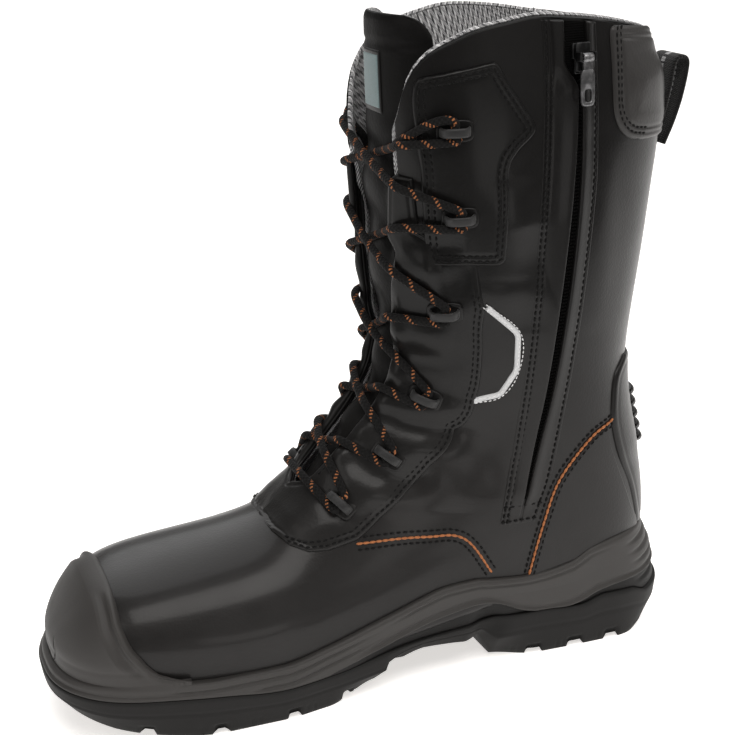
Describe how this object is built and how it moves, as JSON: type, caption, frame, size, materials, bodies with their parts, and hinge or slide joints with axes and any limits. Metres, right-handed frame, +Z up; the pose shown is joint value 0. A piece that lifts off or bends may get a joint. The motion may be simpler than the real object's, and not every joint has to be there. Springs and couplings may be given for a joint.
{
  "type": "safety boot",
  "caption": "Tall lace-up safety boot for the right foot, with a side zip, moulded toe cap, padded collar and a lugged, stepped sole; stands empty on its tread.",
  "frame": {"origin": "on the floor under the middle of the heel's tread", "axes": "+X towards the toe, +Y towards the inner side of the foot, +Z up"},
  "size_m": [0.3162, 0.1137, 0.3034],
  "materials": {
    "tread": "matte moulded rubber",
    "midsole": "matte moulded foam rubber",
    "toe_cap": "fine grained moulded rubber",
    "leather": "smooth polished leather",
    "tongue": "soft padded leather",
    "facing": "smooth polished leather",
    "eyestay": "smooth polished leather",
    "counter": "smooth polished leather",
    "back_strip": "pressed leather with ribs",
    "collar_pad": "soft padded leather",
    "lining": "woven textile",
    "webbing": "woven webbing",
    "lace": "braided cord with orange flecks",
    "lace_loop": "moulded plastic",
    "zip_flap": "smooth polished leather",
    "zip_teeth": "moulded coil",
    "zip_metal": "black painted",
    "reflective": "reflective tape"
  },
  "bodies": {
    "boot": {"collar_pad": "collar_pad", "counter_lateral": "counter", "counter_medial": "counter", "eyestay_lateral": "eyestay", "eyestay_medial": "eyestay", "facing": "facing", "heel_strip": "back_strip", "insole": "lining", "lace_bar": "lace", "lace_cross_1": "lace", "lace_cross_2": "lace", "lace_cross_3": "lace", "lace_cross_4": "lace", "lace_cross_5": "lace", "lace_loop_lateral_1": "lace_loop", "lace_loop_lateral_2": "lace_loop", "lace_loop_lateral_3": "lace_loop", "lace_loop_lateral_4": "lace_loop", "lace_loop_lateral_5": "lace_loop", "lace_loop_lateral_6": "lace_loop", "lace_loop_medial_1": "lace_loop", "lace_loop_medial_2": "lace_loop", "lace_loop_medial_3": "lace_loop", "lace_loop_medial_4": "lace_loop", "lace_loop_medial_5": "lace_loop", "lace_loop_medial_6": "lace_loop", "midsole": "midsole", "outsole": "tread", "pull_loop": "webbing", "toe_cap": "toe_cap", "tongue": "tongue", "trim_lateral": "reflective", "trim_medial": "reflective", "upper": "leather", "zip_chain": "zip_teeth", "zip_flap_back": "zip_flap", "zip_flap_front": "zip_flap", "zip_slider": "zip_metal"},
    "pull_tab": {"zip_pull": "zip_metal"}
  },
  "joints": [
    {"name": "zip_pull_hinge", "type": "hinge", "parent": "boot", "child": "pull_tab", "pos_m": [0.01525, 0.05442, 0.28547], "axis": [0.9964, 0.0852, 0], "range_deg": [0, 150]}
  ]
}
